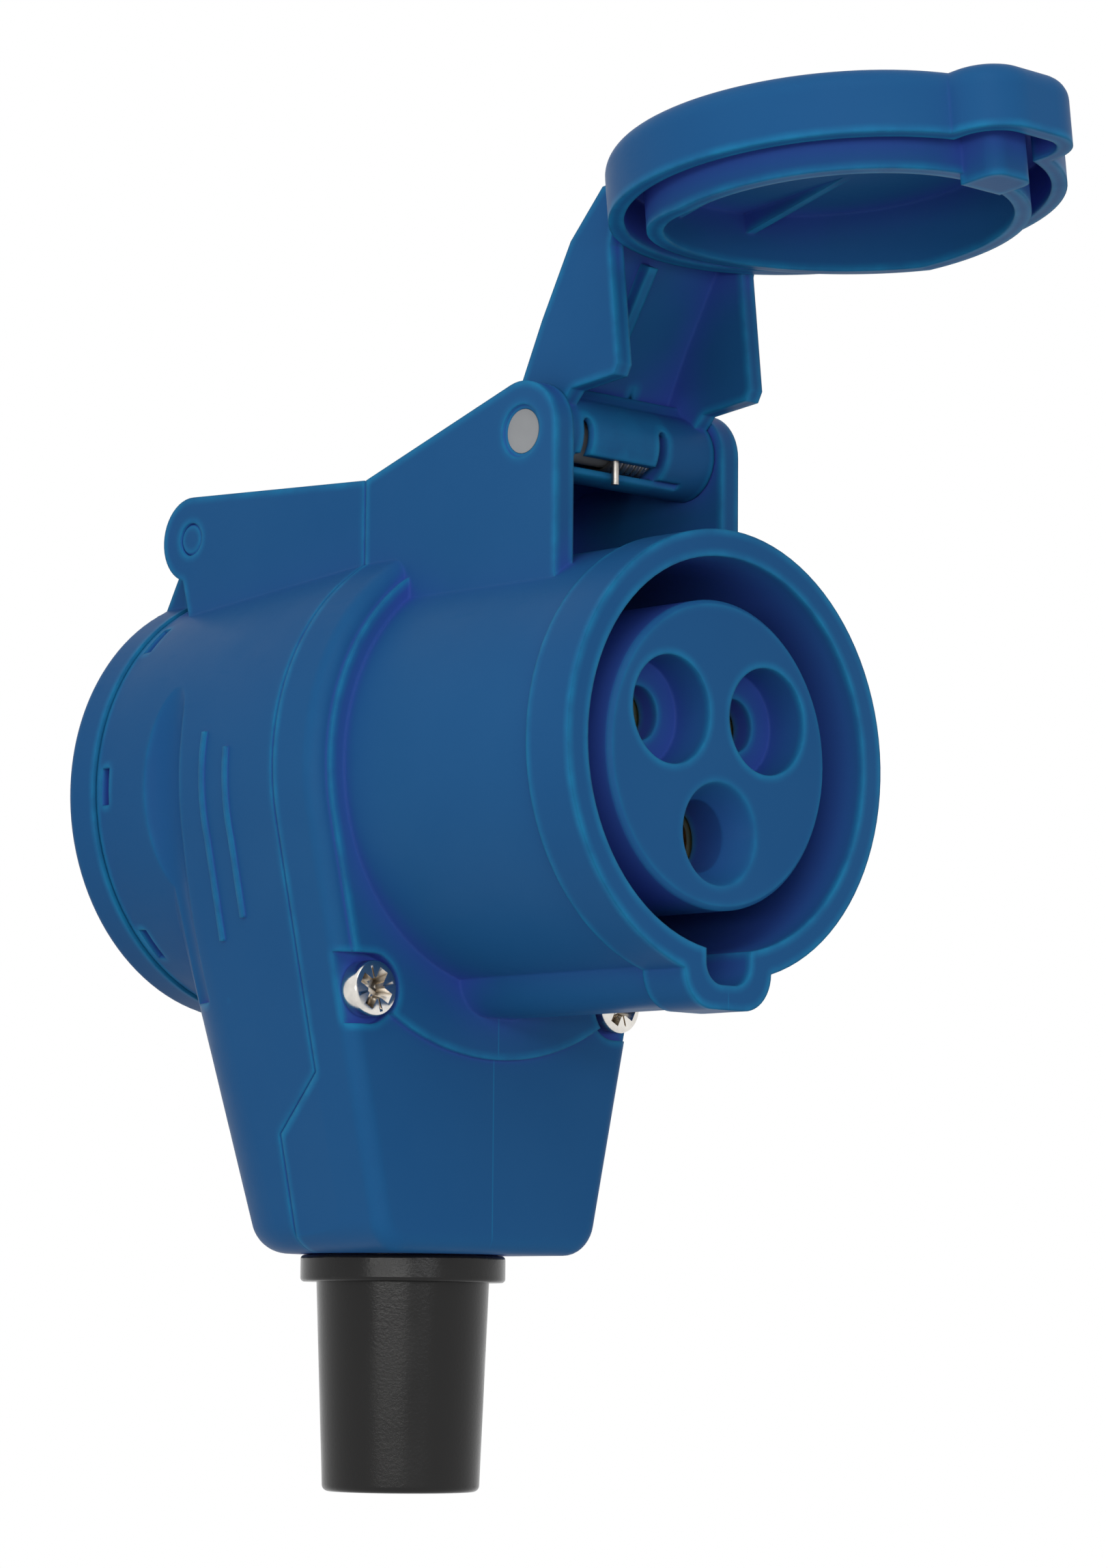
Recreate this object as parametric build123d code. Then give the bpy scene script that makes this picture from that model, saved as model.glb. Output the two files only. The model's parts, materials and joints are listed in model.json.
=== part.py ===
from build123d import *
import os
from math import asin, atan2, cos, hypot, radians, sin

# Angled pin and sleeve connector, 16 A two-pole and earth, with an earthed domestic socket at the back.
# It lies on its closed rear lid: Z runs up the socket axis, the cable leaves along -Y, both hinges are on +Y.
# The origin is the centre of the rear lid's flat face. The front lid is modelled in its open position.

# Main layout along the socket axis
rim_z = 88.0
band_length = 6.8
flange_z = 50.0
flange_raise = 0.8
parting_z = 42.0
sleeve_z = 33.5

# Housing body
wall = 2.5
body_radius = 29.5
barrel_rear_radius = 26.7
foot_y = -57.0
foot_half_width = 17.3
foot_rear_half_width = 16.2
foot_rear_z = 18.0
shoulder_rear_half_width = 26.2
shoulder_rear_z = 10.2
back_corner_radius = 13.0
foot_round = 4.5
handle_sink = 0.05
front_edge_round = 2.0
raised_disc_radius = 33.9
step_y = -36.0
step_run = 7.0
groove_depth = 0.35
groove_height = 0.35

# Collar round the pin socket
collar_radius = 25.4
band_radius = 26.03
collar_bore_radius = 22.89
key_width = 7.3
key_reach = 26.7
key_round = 2.6
key_rib_width = 13.0
key_rib_reach = 28.9
key_rib_round = 4.6
web_thickness = 3.0

# Contact insert with three wells
insert_radius = 18.0
insert_recess = 1.54
insert_fit = 0.12
insert_base_radius = 21.0
insert_base_thickness = 2.5
contact_circle_radius = 9.17
live_mouth_diameter = 12.6
live_mouth_depth = 5.5
live_hole_diameter = 6.4
earth_mouth_diameter = 12.1
earth_mouth_depth = 3.6
earth_hole_diameter = 8.5
well_web = 3.0

# Contact tubes
live_pin_diameter = 5.0
earth_pin_diameter = 7.0
pin_fit = 0.05
tube_wall = 1.6
tube_fit = 0.15
contact_grip_length = 20.0
contact_tail_z = 42.8
slit_width = 0.7
strap_thickness = 2.2

# Rear earthed socket
socket_face_z = 3.4
socket_radius = 23.9
socket_well_radius = 19.5
socket_well_depth = 17.5
socket_base_z = 27.0
socket_fit = 0.2
socket_pin_spacing = 19.0
socket_pin_hole_diameter = 5.6
socket_contact_radius = 3.1
socket_contact_bore = 4.9
ledge_thickness = 2.0
ledge_inner_radius = 21.6
earth_clip_width = 5.0
earth_clip_thickness = 0.8
earth_clip_reach = 17.9
slot_count_per_side = 3
slot_pitch_angle = 45.0
slot_width = 4.6
slot_height = 1.4
slot_z = 6.9
hook_clearance = 0.15

# Hinge ears and hoods
ear_half_width = 15.3
ear_thickness = 2.9
hinge_side_gap = 0.3
hood_wall = 2.4
front_pin_rise = 2.6
front_pin_z = 68.8
front_ear_radius = 5.9
front_pin_diameter = 5.2
front_recess_diameter = 6.2
hood_rise = 6.0
hood_front_z = 61.5
rear_pin_reach = 5.3
rear_pin_z = 9.4
rear_ear_radius = 5.3
rear_pin_diameter = 4.0
hood_rear_z = 17.0
pin_running_fit = 0.05
pin_sink = 0.4

# Front lid, shaped closed and then swung open
lid_gap = 0.3
front_lid_radius = 26.2
front_lid_height = 7.8
front_lid_plate = 2.4
front_lid_skirt = 1.8
front_lid_round = 2.6
front_ring_outer = 21.9
front_ring_wall = 1.9
front_ring_drop = 2.4
ring_relief_y = 5.0
ring_relief_slope = 0.124
lobe_width = 17.0
lobe_reach = 31.0
lobe_round = 6.0
front_knuckle_radius = 5.0
arm_wall = 2.2
open_angle = 96.0
peg_clearance = 0.35
peg_drop = 3.6

# Torsion springs of both lids
spring_wire = 0.9
spring_turns = 6.5
spring_clearance = 0.25
spring_start_x = -3.0
spring_room_x = -10.6
spring_slot_width = 1.6
spring_slot_rise = 1.8
window_top = 2.45
window_foot = 3.7
window_recess_x = 8.0
window_recess_z = 2.4
front_leg_angle = -72.0
front_leg_length = 7.5
front_tail_length = 5.2
rear_leg_length = 7.3
rear_tail_length = 5.2
leg_fit = 0.15

# Rear lid
rear_lid_radius = 27.0
rear_lid_height = 5.4
rear_lid_plate = 2.4
rear_lid_skirt = 2.0
rear_lid_round = 1.4
rear_knuckle_radius = 4.4

# Cable entry
sleeve_flange_radius = 12.47
sleeve_flange_thickness = 3.25
sleeve_gap = 0.1
sleeve_neck_radius = 9.0
sleeve_neck_fit = 0.2
sleeve_top_radius = 10.5
sleeve_end_radius = 9.51
sleeve_reach = 28.5
sleeve_bore_radius = 6.5
sleeve_inner_flange_radius = 11.8
sleeve_inner_flange_thickness = 2.6
clamp_foot_distance = 10.5
clamp_length = 7.0
clamp_half_span = 11.0
clamp_z = 38.8
clamp_thickness = 3.6
clamp_boss_radius = 3.2
clamp_arch_radius = 5.6
clamp_screw_diameter = 3.0
clamp_screw_length = 14.0
clamp_screw_head_diameter = 5.4
clamp_screw_head_height = 2.0

# Housing screws and their pockets
screw_edge_distance = 9.2
screw_y = -26.4
screw_head_diameter = 6.6
screw_head_height = 2.6
screw_head_top_z = 50.5
screw_shank_diameter = 3.8
screw_length = 20.0
screw_end_room = 1.0
screw_hole_fit = 0.2
pocket_radius = 4.15
screw_boss_radius = 4.3
recess_width = 0.95
recess_span = 3.7
recess_depth = 1.5

# Side grip
scoop_width = 7.2
scoop_depth = 1.9
scoop_z = 19.3
scoop_arc_radius = 80.6
scoop_centre_y = 2.0
scoop_top_y = 17.0
scoop_foot_y = -27.0
rib_width = 0.8
rib_height = 0.35
rib_positions = ((27.9, 5.0, -20.0), (32.6, 2.8, -17.5))

# Derived places
rear_rim_z = rear_lid_height + lid_gap
screw_x = body_radius - screw_edge_distance
screw_seat_z = screw_head_top_z - screw_head_height
hood_root_y = body_radius + hood_rise
front_pin_y = hood_root_y + front_pin_rise
rear_pin_y = barrel_rear_radius + rear_pin_reach
sleeve_end_y = foot_y - sleeve_reach
clamp_y = foot_y + clamp_foot_distance
insert_face_z = rim_z - insert_recess
front_face_z = flange_z - flange_raise
web_under_z = flange_z - web_thickness
barrel_length = parting_z - rear_rim_z
ear_inner = ear_half_width - ear_thickness
knuckle_half = ear_inner - hinge_side_gap
socket_floor_z = socket_face_z + socket_well_depth
spring_pitch = spring_wire * 1.12
spring_end_x = spring_start_x + spring_pitch * spring_turns
live_places = [(contact_circle_radius * cos(radians(a)),
                contact_circle_radius * sin(radians(a))) for a in (150, 30)]
earth_place = (0.0, -contact_circle_radius)
low = (Align.CENTER, Align.CENTER, Align.MIN)


def rod(radius, z0, z1, x=0.0, y=0.0):
    return Pos(x, y, z0) * Cylinder(radius, z1 - z0, align=low)


def block(x0, x1, y0, y1, z0, z1):
    return Pos((x0 + x1) / 2, (y0 + y1) / 2, (z0 + z1) / 2) * Box(x1 - x0, y1 - y0, z1 - z0)


def bar_x(radius, x0, x1, y, z):
    return Pos(x0, y, z) * Rot(0, 90, 0) * Cylinder(radius, x1 - x0, align=low)


def bar_y(radius, y0, y1, x, z):
    return Pos(x, y0, z) * Rot(-90, 0, 0) * Cylinder(radius, y1 - y0, align=low)


def side_prism(points, x0, x1):
    # a profile of (y, z) points, extruded across the width
    return extrude(Plane.YZ.offset(x0) * make_face(Polyline(*points, close=True)), amount=x1 - x0)


def tangent_point(px, py, cx, cy, radius, side):
    # touching point of the line from (px, py) to the circle, on the chosen side
    away = hypot(cx - px, cy - py)
    turn = atan2(cy - py, cx - px) + side * asin(radius / away)
    reach = (away * away - radius * radius) ** 0.5
    return px + reach * cos(turn), py + reach * sin(turn)


def drop_outline(radius, half_width, bottom_y, corner):
    # round body that runs down in two straight flanks to the cable end
    tx, ty = tangent_point(half_width, bottom_y, 0, 0, radius, -1)
    flanks = make_face(Polyline((tx, ty), (half_width, bottom_y), (-half_width, bottom_y), (-tx, ty),
                                close=True))
    flanks = fillet(flanks.vertices().sort_by(Axis.Y)[:2], corner)
    return Circle(radius) + flanks


def handle_section(y, half_width, rear_half_width, rear_z, top_z, corner):
    outline = Polyline((half_width, top_z), (-half_width, top_z), (-rear_half_width, rear_z),
                       (rear_half_width, rear_z), close=True)
    face = make_face(outline)
    face = fillet(face.vertices().sort_by(Axis.Y)[:2], corner)
    plane = Plane(origin=(0, y, 0), x_dir=(1, 0, 0), z_dir=(0, -1, 0))
    return plane * face


def handle_loft(inset, sink):
    # flanks that run from the barrel down to the cable end, their top sunk into the barrel
    tx, ty = tangent_point(foot_half_width - inset, foot_y + inset, 0, 0, body_radius - inset, -1)
    upper = handle_section(ty, tx - sink, shoulder_rear_half_width - inset - sink, shoulder_rear_z + inset,
                           parting_z, back_corner_radius - inset)
    lower = handle_section(foot_y + inset, foot_half_width - inset, foot_rear_half_width - inset,
                           foot_rear_z + inset, parting_z, back_corner_radius - inset)
    return loft([upper, lower], ruled=True)


def rear_form(inset):
    # round barrel and tapered handle behind the parting plane, drawn in by inset
    barrel = Pos(0, 0, rear_rim_z) * Cone(barrel_rear_radius - inset, body_radius - inset, barrel_length,
                                          align=low)
    handle = handle_loft(inset, handle_sink)
    foot = handle.faces().sort_by(Axis.Y)[0]
    edges = [e for e in foot.edges() if e.center().Z < parting_z - 0.5]
    handle = fillet(edges, max(foot_round - inset, 1.0))
    return barrel + handle


def front_form(inset, top_z):
    outline = drop_outline(body_radius - inset, foot_half_width - inset, foot_y + inset, foot_round)
    body = extrude(Pos(0, 0, parting_z) * outline, amount=top_z - parting_z)
    return fillet(body.faces().sort_by(Axis.Z)[-1].outer_wire().edges(), front_edge_round)


def joint_tab(inset, round_radius):
    # the foot of the front half, which reaches back to the sleeve's axis
    outline = drop_outline(body_radius - inset, foot_half_width - inset, foot_y + inset, round_radius)
    column = extrude(Pos(0, 0, sleeve_z - 1) * outline, amount=parting_z - sleeve_z + 1)
    return handle_loft(inset, 0) & column & block(-60, 60, foot_y - 1, step_y + inset, 0, parting_z)


def front_side_tool():
    # space in front of the stepped joint between the two halves
    far = 200.0
    return side_prism([(far, parting_z), (step_y, parting_z), (step_y - step_run, sleeve_z), (-far, sleeve_z),
                       (-far, far), (far, far)], -far, far)


def key_outline(radius, width, reach, corner):
    rib = make_face(Polyline((-width / 2, 0), (width / 2, 0), (width / 2, -reach), (-width / 2, -reach),
                             close=True))
    rib = fillet(rib.vertices().sort_by(Axis.Y)[:2], corner)
    return Circle(radius) + rib


def front_ear_profile():
    ty, tz = tangent_point(hood_root_y, parting_z, front_pin_y, front_pin_z, front_ear_radius, -1)
    root = (collar_bore_radius ** 2 - ear_inner ** 2) ** 0.5 + 0.4
    return [(root, parting_z), (hood_root_y, parting_z), (ty, tz), (front_pin_y, front_pin_z),
            (front_pin_y, front_pin_z + front_ear_radius), (root, front_pin_z + front_ear_radius)]


def front_hood_line(z):
    # height of the sloping top between the front ears
    ty, tz = tangent_point(hood_root_y, parting_z, front_pin_y, front_pin_z, front_ear_radius, -1)
    return hood_root_y + (ty - hood_root_y) * (z - parting_z) / (tz - parting_z)


def rear_hood_line(z):
    ty, tz = tangent_point(hood_root_y, parting_z, rear_pin_y, rear_pin_z, rear_ear_radius, 1)
    return hood_root_y + (ty - hood_root_y) * (z - parting_z) / (tz - parting_z)


def screw_pocket(side):
    cup = rod(pocket_radius, screw_seat_z, flange_z + 5, side * screw_x, screw_y)
    outer = side * (screw_x + 20)
    cup += block(min(side * screw_x, outer), max(side * screw_x, outer), screw_y - pocket_radius,
                 screw_y + pocket_radius, screw_seat_z, flange_z + 5)
    return cup


def make_front_housing():
    body = front_form(0, front_face_z)
    body += joint_tab(0, foot_round) & front_side_tool()
    disc = extrude(Pos(0, 0, front_face_z - 1) * (Circle(raised_disc_radius) & drop_outline(
        body_radius - front_edge_round, foot_half_width - front_edge_round, foot_y + front_edge_round, 2.0)),
        amount=flange_raise + 1)
    body += disc
    inner = extrude(Pos(0, 0, parting_z) * drop_outline(body_radius - wall, foot_half_width - wall,
                                                        foot_y + wall, 2.0),
                    amount=web_under_z - parting_z)
    inner += joint_tab(wall, 2.0)
    body -= inner
    # bosses under the screw pockets, and the pockets
    for side in (-1, 1):
        boss = rod(screw_boss_radius, parting_z, web_under_z + 0.5, side * screw_x, screw_y)
        body += boss & extrude(Pos(0, 0, parting_z) * drop_outline(body_radius - 1, foot_half_width - 1,
                                                                   foot_y + 1, 3.0),
                               amount=web_under_z + 0.5 - parting_z)
        body -= screw_pocket(side)
        body -= rod(screw_shank_diameter / 2 + screw_hole_fit, parting_z - 1, flange_z, side * screw_x,
                    screw_y)
    # collar with the keyway rib
    tube = extrude(Pos(0, 0, web_under_z) * key_outline(collar_radius, key_rib_width, key_rib_reach,
                                                        key_rib_round),
                   amount=rim_z - web_under_z)
    step = band_radius - collar_radius
    tube += extrude(Pos(0, 0, rim_z - band_length) * key_outline(band_radius, key_rib_width + 2 * step,
                    key_rib_reach + step, key_rib_round), amount=band_length)
    body += tube
    # ears, sloping hood and the wall behind the hinge space
    profile = front_ear_profile()
    for side in (-1, 1):
        x0, x1 = sorted((side * ear_inner, side * ear_half_width))
        body += side_prism(profile, x0, x1) + bar_x(front_ear_radius, x0, x1, front_pin_y, front_pin_z)
    top = [(hood_root_y - hood_wall, parting_z), (hood_root_y, parting_z),
           (front_hood_line(hood_front_z), hood_front_z),
           (front_hood_line(hood_front_z) - hood_wall, hood_front_z)]
    body += side_prism(top, -ear_inner, ear_inner)
    body += block(-ear_inner, ear_inner, collar_radius - 3, front_hood_line(web_under_z) - 0.5, web_under_z,
                  front_face_z)
    # the plug's way in: annular bore with its keyway, and the hole for the insert
    body -= extrude(Pos(0, 0, flange_z) * key_outline(collar_bore_radius, key_width, key_reach, key_round),
                    amount=rim_z - flange_z + 1)
    body -= rod(insert_radius + insert_fit, parting_z, rim_z)
    body -= rod(insert_base_radius + insert_fit, parting_z, web_under_z)
    # room for the rear half's hood behind the parting plane
    body -= block(-ear_inner, ear_inner, body_radius - wall - 6, front_hood_line(parting_z) - hood_wall,
                  parting_z - 1,
                  web_under_z)
    # cable entry and hinge pin
    body -= bar_y(sleeve_neck_radius + sleeve_neck_fit, foot_y - 2, foot_y + wall + 1, 0, sleeve_z)
    body -= bar_x(front_pin_diameter / 2 + pin_running_fit, -ear_half_width - 1, ear_half_width - 1,
                  front_pin_y, front_pin_z)
    body -= bar_x(front_recess_diameter / 2, -ear_half_width - 1, -ear_half_width + pin_sink, front_pin_y,
                  front_pin_z)
    return body


def make_rear_housing():
    body = rear_form(0)
    # hood block with the two rear ears
    profile = [(rear_rim_z + 15.6, rear_rim_z + 3.8), (rear_pin_y - rear_ear_radius + 0.6, rear_pin_z - 1.6),
               (rear_pin_y, rear_pin_z), tangent_point(hood_root_y, parting_z, rear_pin_y, rear_pin_z,
                                                       rear_ear_radius, 1),
               (hood_root_y, parting_z), (rear_rim_z + 15.6, parting_z)]
    for side in (-1, 1):
        x0, x1 = sorted((side * ear_inner, side * ear_half_width))
        body += side_prism(profile, x0, x1) + bar_x(rear_ear_radius, x0, x1, rear_pin_y, rear_pin_z)
    hood = [(body_radius - wall - 4, hood_rear_z), (rear_hood_line(hood_rear_z), hood_rear_z),
            (hood_root_y, parting_z),
            (body_radius - wall - 4, parting_z)]
    body += side_prism(hood, -ear_inner, ear_inner)
    # thin raised ribs on both flanks
    for z, y_top, y_foot in rib_positions:
        strip = rear_form(-rib_height) & block(-60, 60, y_foot, y_top, z - rib_width / 2, z + rib_width / 2)
        body += strip - block(-20, 20, -60, 60, 0, 60)
    body -= front_side_tool()
    # inside: barrel, handle and hood are hollow
    hollow = rear_form(wall)
    hollow -= block(-60, 60, -60, 60, 0, socket_base_z + ledge_thickness)
    hollow += rear_form(wall) & block(-60, 60, foot_y, -socket_radius - wall, 0, parting_z)
    body -= hollow
    room = [(body_radius - wall - 5, hood_rear_z + hood_wall),
            (rear_hood_line(hood_rear_z + hood_wall) - hood_wall, hood_rear_z + hood_wall),
            (hood_root_y - hood_wall, parting_z), (body_radius - wall - 5, parting_z)]
    body -= side_prism(room, -ear_inner, ear_inner)
    body += ledge_and_seat()
    body -= rod(socket_radius + socket_fit, 0, socket_base_z)
    body -= rod(ledge_inner_radius, 0, parting_z)
    for side in (-1, 1):
        boss = rod(screw_boss_radius, foot_rear_z - 4, parting_z, side * screw_x, screw_y)
        body += boss & rear_form(0.6)
        body -= rod(screw_shank_diameter / 2 - 0.15, screw_seat_z - screw_length - screw_end_room,
                    parting_z + 1, side * screw_x, screw_y)
        post = rod(clamp_boss_radius, rear_rim_z, parting_z, side * clamp_half_span, clamp_y) & rear_form(0.6)
        body += post - rod(clamp_boss_radius + 1, clamp_z, parting_z + 1, side * clamp_half_span, clamp_y)
        body -= rod(clamp_screw_diameter / 2 - 0.1, clamp_z - clamp_screw_length, clamp_z + 1,
                    side * clamp_half_span, clamp_y)
    # snap slots in the rear collar
    for side in (0, 180):
        for k in range(slot_count_per_side):
            angle = side + (k - (slot_count_per_side - 1) / 2) * slot_pitch_angle
            body -= Rot(0, 0, angle) * block(socket_radius - 1, barrel_rear_radius + 3, -slot_width / 2,
                                             slot_width / 2,
                                             slot_z, slot_z + slot_height)
    for side in (-1, 1):
        body -= scoop_tool(side)
    body -= joint_groove()
    body -= bar_y(sleeve_neck_radius + sleeve_neck_fit, foot_y - 2, foot_y + wall + 1, 0, sleeve_z)
    body -= bar_x(rear_pin_diameter / 2 + pin_running_fit, -ear_half_width - 1, ear_half_width - 1,
                  rear_pin_y, rear_pin_z)
    return body


def scoop_tool(side):
    # finger scoop: a round channel on a long arc, so that it runs out at both ends
    radius = (scoop_width ** 2 / 4 + scoop_depth ** 2) / (2 * scoop_depth)
    flank = barrel_rear_radius + (body_radius - barrel_rear_radius) * (scoop_z - rear_rim_z) / barrel_length
    arc_x = scoop_arc_radius + scoop_depth - flank
    ring = Pos(-side * arc_x, scoop_centre_y, scoop_z) * Torus(scoop_arc_radius + radius, radius)
    x0, x1 = sorted((side * foot_rear_half_width, side * (flank + 20)))
    return ring & block(x0, x1, scoop_foot_y, scoop_top_y, scoop_z - radius - 1, scoop_z + radius + 1)


def joint_groove():
    # fine line round the joint, cut into the edge of the rear half
    line = (Pos(0, 0, -groove_height) * front_side_tool()) & block(-60, 60, foot_y - 1, hood_root_y + 1, 0,
                                                                   parting_z + 1)
    line -= rear_form(groove_depth)
    half = ear_half_width - groove_depth
    return line - block(-half, half, 0, hood_root_y - groove_depth, 0, parting_z + 2)


def ledge_and_seat():
    # round sleeve that takes the domestic socket, with the ledge that it rests on
    seat = rod(socket_radius + socket_fit + 1.6, rear_rim_z + 4, socket_base_z + ledge_thickness)
    return seat & rear_form(0.4)


def make_contact_insert():
    body = rod(insert_radius, web_under_z - insert_base_thickness, insert_face_z)
    body = chamfer(body.faces().sort_by(Axis.Z)[-1].edges(), 0.5)
    body += rod(insert_base_radius, web_under_z - insert_base_thickness, web_under_z)
    floor_z = insert_face_z - live_mouth_depth
    live_seat = live_pin_diameter / 2 + pin_fit + tube_wall + tube_fit
    earth_seat = earth_pin_diameter / 2 + pin_fit + tube_wall + tube_fit
    under = web_under_z - insert_base_thickness - 1
    for x, y in live_places:
        body -= rod(live_mouth_diameter / 2, floor_z, insert_face_z + 1, x, y)
        body -= rod(live_hole_diameter / 2, under, insert_face_z, x, y)
        body -= rod(live_seat, under, floor_z - well_web, x, y)
    x, y = earth_place
    body -= Pos(x, y, insert_face_z - earth_mouth_depth) * Cone(earth_hole_diameter / 2,
                                                                earth_mouth_diameter / 2,
                                                                 earth_mouth_depth, align=low)
    body -= rod(earth_hole_diameter / 2, under, insert_face_z, x, y)
    body -= rod(earth_seat, under, floor_z - well_web, x, y)
    return body


def make_contact(x, y, pin_diameter):
    bore = pin_diameter / 2 + pin_fit
    top = insert_face_z - live_mouth_depth - well_web - 0.2
    tube = rod(bore + tube_wall, contact_tail_z, top, x, y)
    tube = chamfer(tube.faces().sort_by(Axis.Z)[-1].edges(), 0.4)
    tube -= rod(bore, top - contact_grip_length, top + 1, x, y)
    slit = block(x - slit_width / 2, x + slit_width / 2, y, y + bore + tube_wall + 1,
                 top - contact_grip_length * 0.7, top + 1)
    return tube - slit


def make_strap(x0, y0, r0, x1, y1, r1):
    # flat link between a front contact and the matching rear contact
    profile = make_hull((Pos(x0, y0) * Circle(r0)).edges() + (Pos(x1, y1) * Circle(r1)).edges())
    return extrude(Pos(0, 0, contact_tail_z - strap_thickness) * profile, amount=strap_thickness)


def make_socket_insert():
    body = rod(socket_radius, socket_face_z, socket_base_z)
    body = fillet(body.faces().sort_by(Axis.Z)[0].edges(), 0.8)
    body -= rod(socket_well_radius, socket_face_z - 1, socket_floor_z)
    for side in (-1, 1):
        x = side * socket_pin_spacing / 2
        body -= rod(socket_pin_hole_diameter / 2, socket_floor_z - 1, socket_base_z + 1, x, 0)
        body -= rod(socket_contact_radius + 0.1, socket_floor_z + 1.6, socket_base_z + 1, x, 0)
        # pocket for one arm of the earth clip
        y0, y1 = sorted((side * (earth_clip_reach - 0.4), side * (socket_well_radius + 1.9)))
        half = earth_clip_width / 2 + 0.3
        body -= block(-half, half, y0, y1, socket_face_z + 2, socket_base_z + 1)
    for start in (0, 180):
        for k in range(slot_count_per_side):
            angle = start + (k - (slot_count_per_side - 1) / 2) * slot_pitch_angle
            half = slot_width / 2 - hook_clearance
            body += Rot(0, 0, angle) * block(socket_radius - 1, socket_radius + 1.3, -half, half,
                                             slot_z + hook_clearance, slot_z + slot_height - hook_clearance)
    return body


def make_socket_contact(x):
    tube = rod(socket_contact_radius, socket_floor_z + 1.8, contact_tail_z - strap_thickness, x, 0)
    return tube - rod(socket_contact_bore / 2, socket_floor_z + 1, contact_tail_z - strap_thickness - 0.8, x,
                      0)


def make_earth_clip():
    # one strip bent into a U, with sprung ends that lean into the well
    t = earth_clip_thickness
    base = socket_base_z + 0.3
    outer = socket_well_radius + 1.4
    lip = socket_face_z + 3.2
    half = [(outer, base + t), (outer, socket_floor_z), (earth_clip_reach + t, lip + 4), (outer - 0.6, lip),
            (outer - 0.6 - t, lip), (earth_clip_reach, lip + 4), (outer - t, socket_floor_z),
            (outer - t, base)]
    points = half + [(-y, z) for y, z in reversed(half)]
    return side_prism(points, -earth_clip_width / 2, earth_clip_width / 2)


def make_earth_link():
    x, y = earth_place
    return rod(2.2, socket_base_z + 0.3 + earth_clip_thickness, contact_tail_z, x, y)


def make_cable_sleeve():
    top = foot_y - sleeve_gap
    flange = bar_y(sleeve_flange_radius, top - sleeve_flange_thickness, top, 0, sleeve_z)
    flange = fillet(flange.edges().filter_by(GeomType.CIRCLE), 0.5)
    length = top - sleeve_flange_thickness - sleeve_end_y
    tube = Pos(0, sleeve_end_y, sleeve_z) * Rot(-90, 0, 0) * Cone(sleeve_end_radius, sleeve_top_radius,
                                                                  length, align=low)
    tube = fillet(tube.faces().sort_by(Axis.Y)[0].edges(), 0.8)
    body = flange + tube
    inner_y = foot_y + wall + sleeve_gap
    body += bar_y(sleeve_neck_radius, top - 0.5, inner_y + 0.5, 0, sleeve_z)
    body += bar_y(sleeve_inner_flange_radius, inner_y, inner_y + sleeve_inner_flange_thickness, 0, sleeve_z)
    return body - bar_y(sleeve_bore_radius, sleeve_end_y - 1, inner_y + sleeve_inner_flange_thickness + 1, 0,
                        sleeve_z)


def make_cable_clamp():
    half = clamp_half_span + clamp_boss_radius
    bar = block(-half, half, clamp_y - clamp_length / 2, clamp_y + clamp_length / 2, clamp_z,
                clamp_z + clamp_thickness)
    bar = fillet(bar.edges().filter_by(Axis.Z), 2.2)
    bar -= bar_y(clamp_arch_radius, clamp_y - clamp_length, clamp_y + clamp_length, 0,
                 clamp_z - clamp_arch_radius + 1.8)
    for side in (-1, 1):
        bar -= rod(clamp_screw_diameter / 2 + 0.2, clamp_z - 1, clamp_z + clamp_thickness + 1,
                   side * clamp_half_span, clamp_y)
    return bar


def make_screw(x, y, seat_z, shank_diameter, length, head_diameter, head_height):
    head = rod(head_diameter / 2, seat_z, seat_z + head_height, x, y)
    head = fillet(head.faces().sort_by(Axis.Z)[-1].edges(), head_height * 0.35)
    screw = head + rod(shank_diameter / 2, seat_z - length, seat_z + 0.2, x, y)
    top = seat_z + head_height
    for turn in (0, 90):
        screw -= Pos(x, y, 0) * Rot(0, 0, 25 + turn) * block(-recess_span / 2, recess_span / 2,
                                                             -recess_width / 2,
                                                             recess_width / 2, top - recess_depth, top + 1)
    return screw


def make_housing_screw(side):
    return make_screw(side * screw_x, screw_y, screw_seat_z, screw_shank_diameter - 0.5,
                      screw_length, screw_head_diameter, screw_head_height)


def make_clamp_screws():
    screws = [make_screw(s * clamp_half_span, clamp_y, clamp_z + clamp_thickness, clamp_screw_diameter - 0.4,
                         clamp_screw_length, clamp_screw_head_diameter, clamp_screw_head_height)
              for s in (-1, 1)]
    return Compound(children=screws)


def open_front_lid(piece):
    hinge = Pos(0, front_pin_y, front_pin_z)
    return hinge * Rot(-open_angle, 0, 0) * Pos(0, -front_pin_y, -front_pin_z) * piece


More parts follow.
